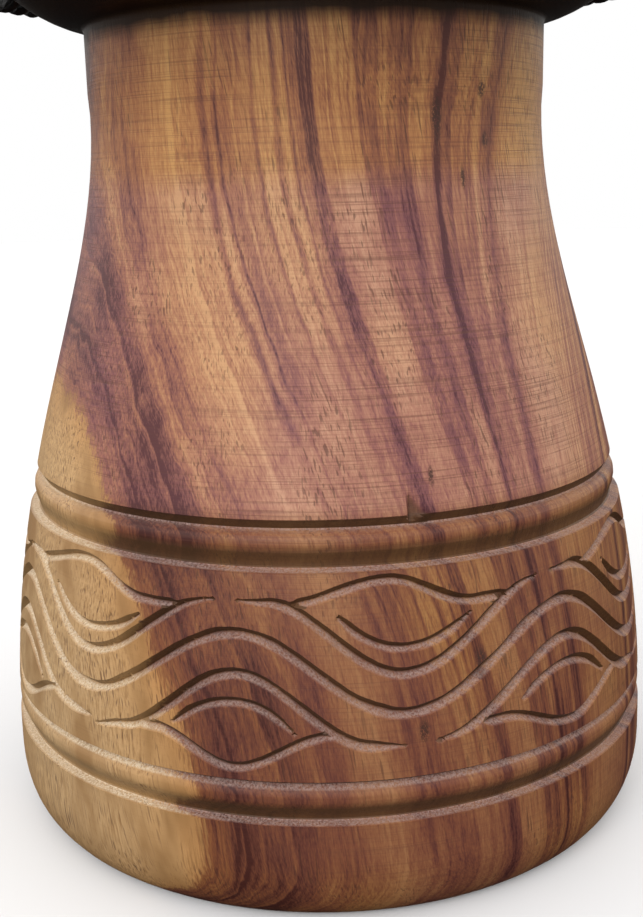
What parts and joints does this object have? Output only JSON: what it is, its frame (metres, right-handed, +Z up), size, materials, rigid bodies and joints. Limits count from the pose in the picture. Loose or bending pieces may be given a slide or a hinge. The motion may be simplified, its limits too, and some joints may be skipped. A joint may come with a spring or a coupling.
{
  "type": "goblet hand drum",
  "caption": "Goblet-shaped ritual hand drum: a carved wooden shell with a wave band on its foot, a rawhide head, and rings laced together with black rope.",
  "frame": {"origin": "on the floor, on the drum's axis", "axes": "+Z up along the drum's axis, -Y towards the front"},
  "size_m": [0.385, 0.385, 0.6015],
  "materials": {
    "wood": "oiled hardwood, semi-matt",
    "rawhide": "scraped goatskin rawhide",
    "steel": "black paint on steel rod",
    "rope": "braided black rope"
  },
  "bodies": {
    "root": {"shell": "wood", "drumhead": "rawhide", "flesh_ring": "steel", "crown_ring": "steel", "bottom_ring": "steel", "crown_loops": "rope", "bottom_loops": "rope", "tension_rope": "rope"}
  },
  "joints": []
}
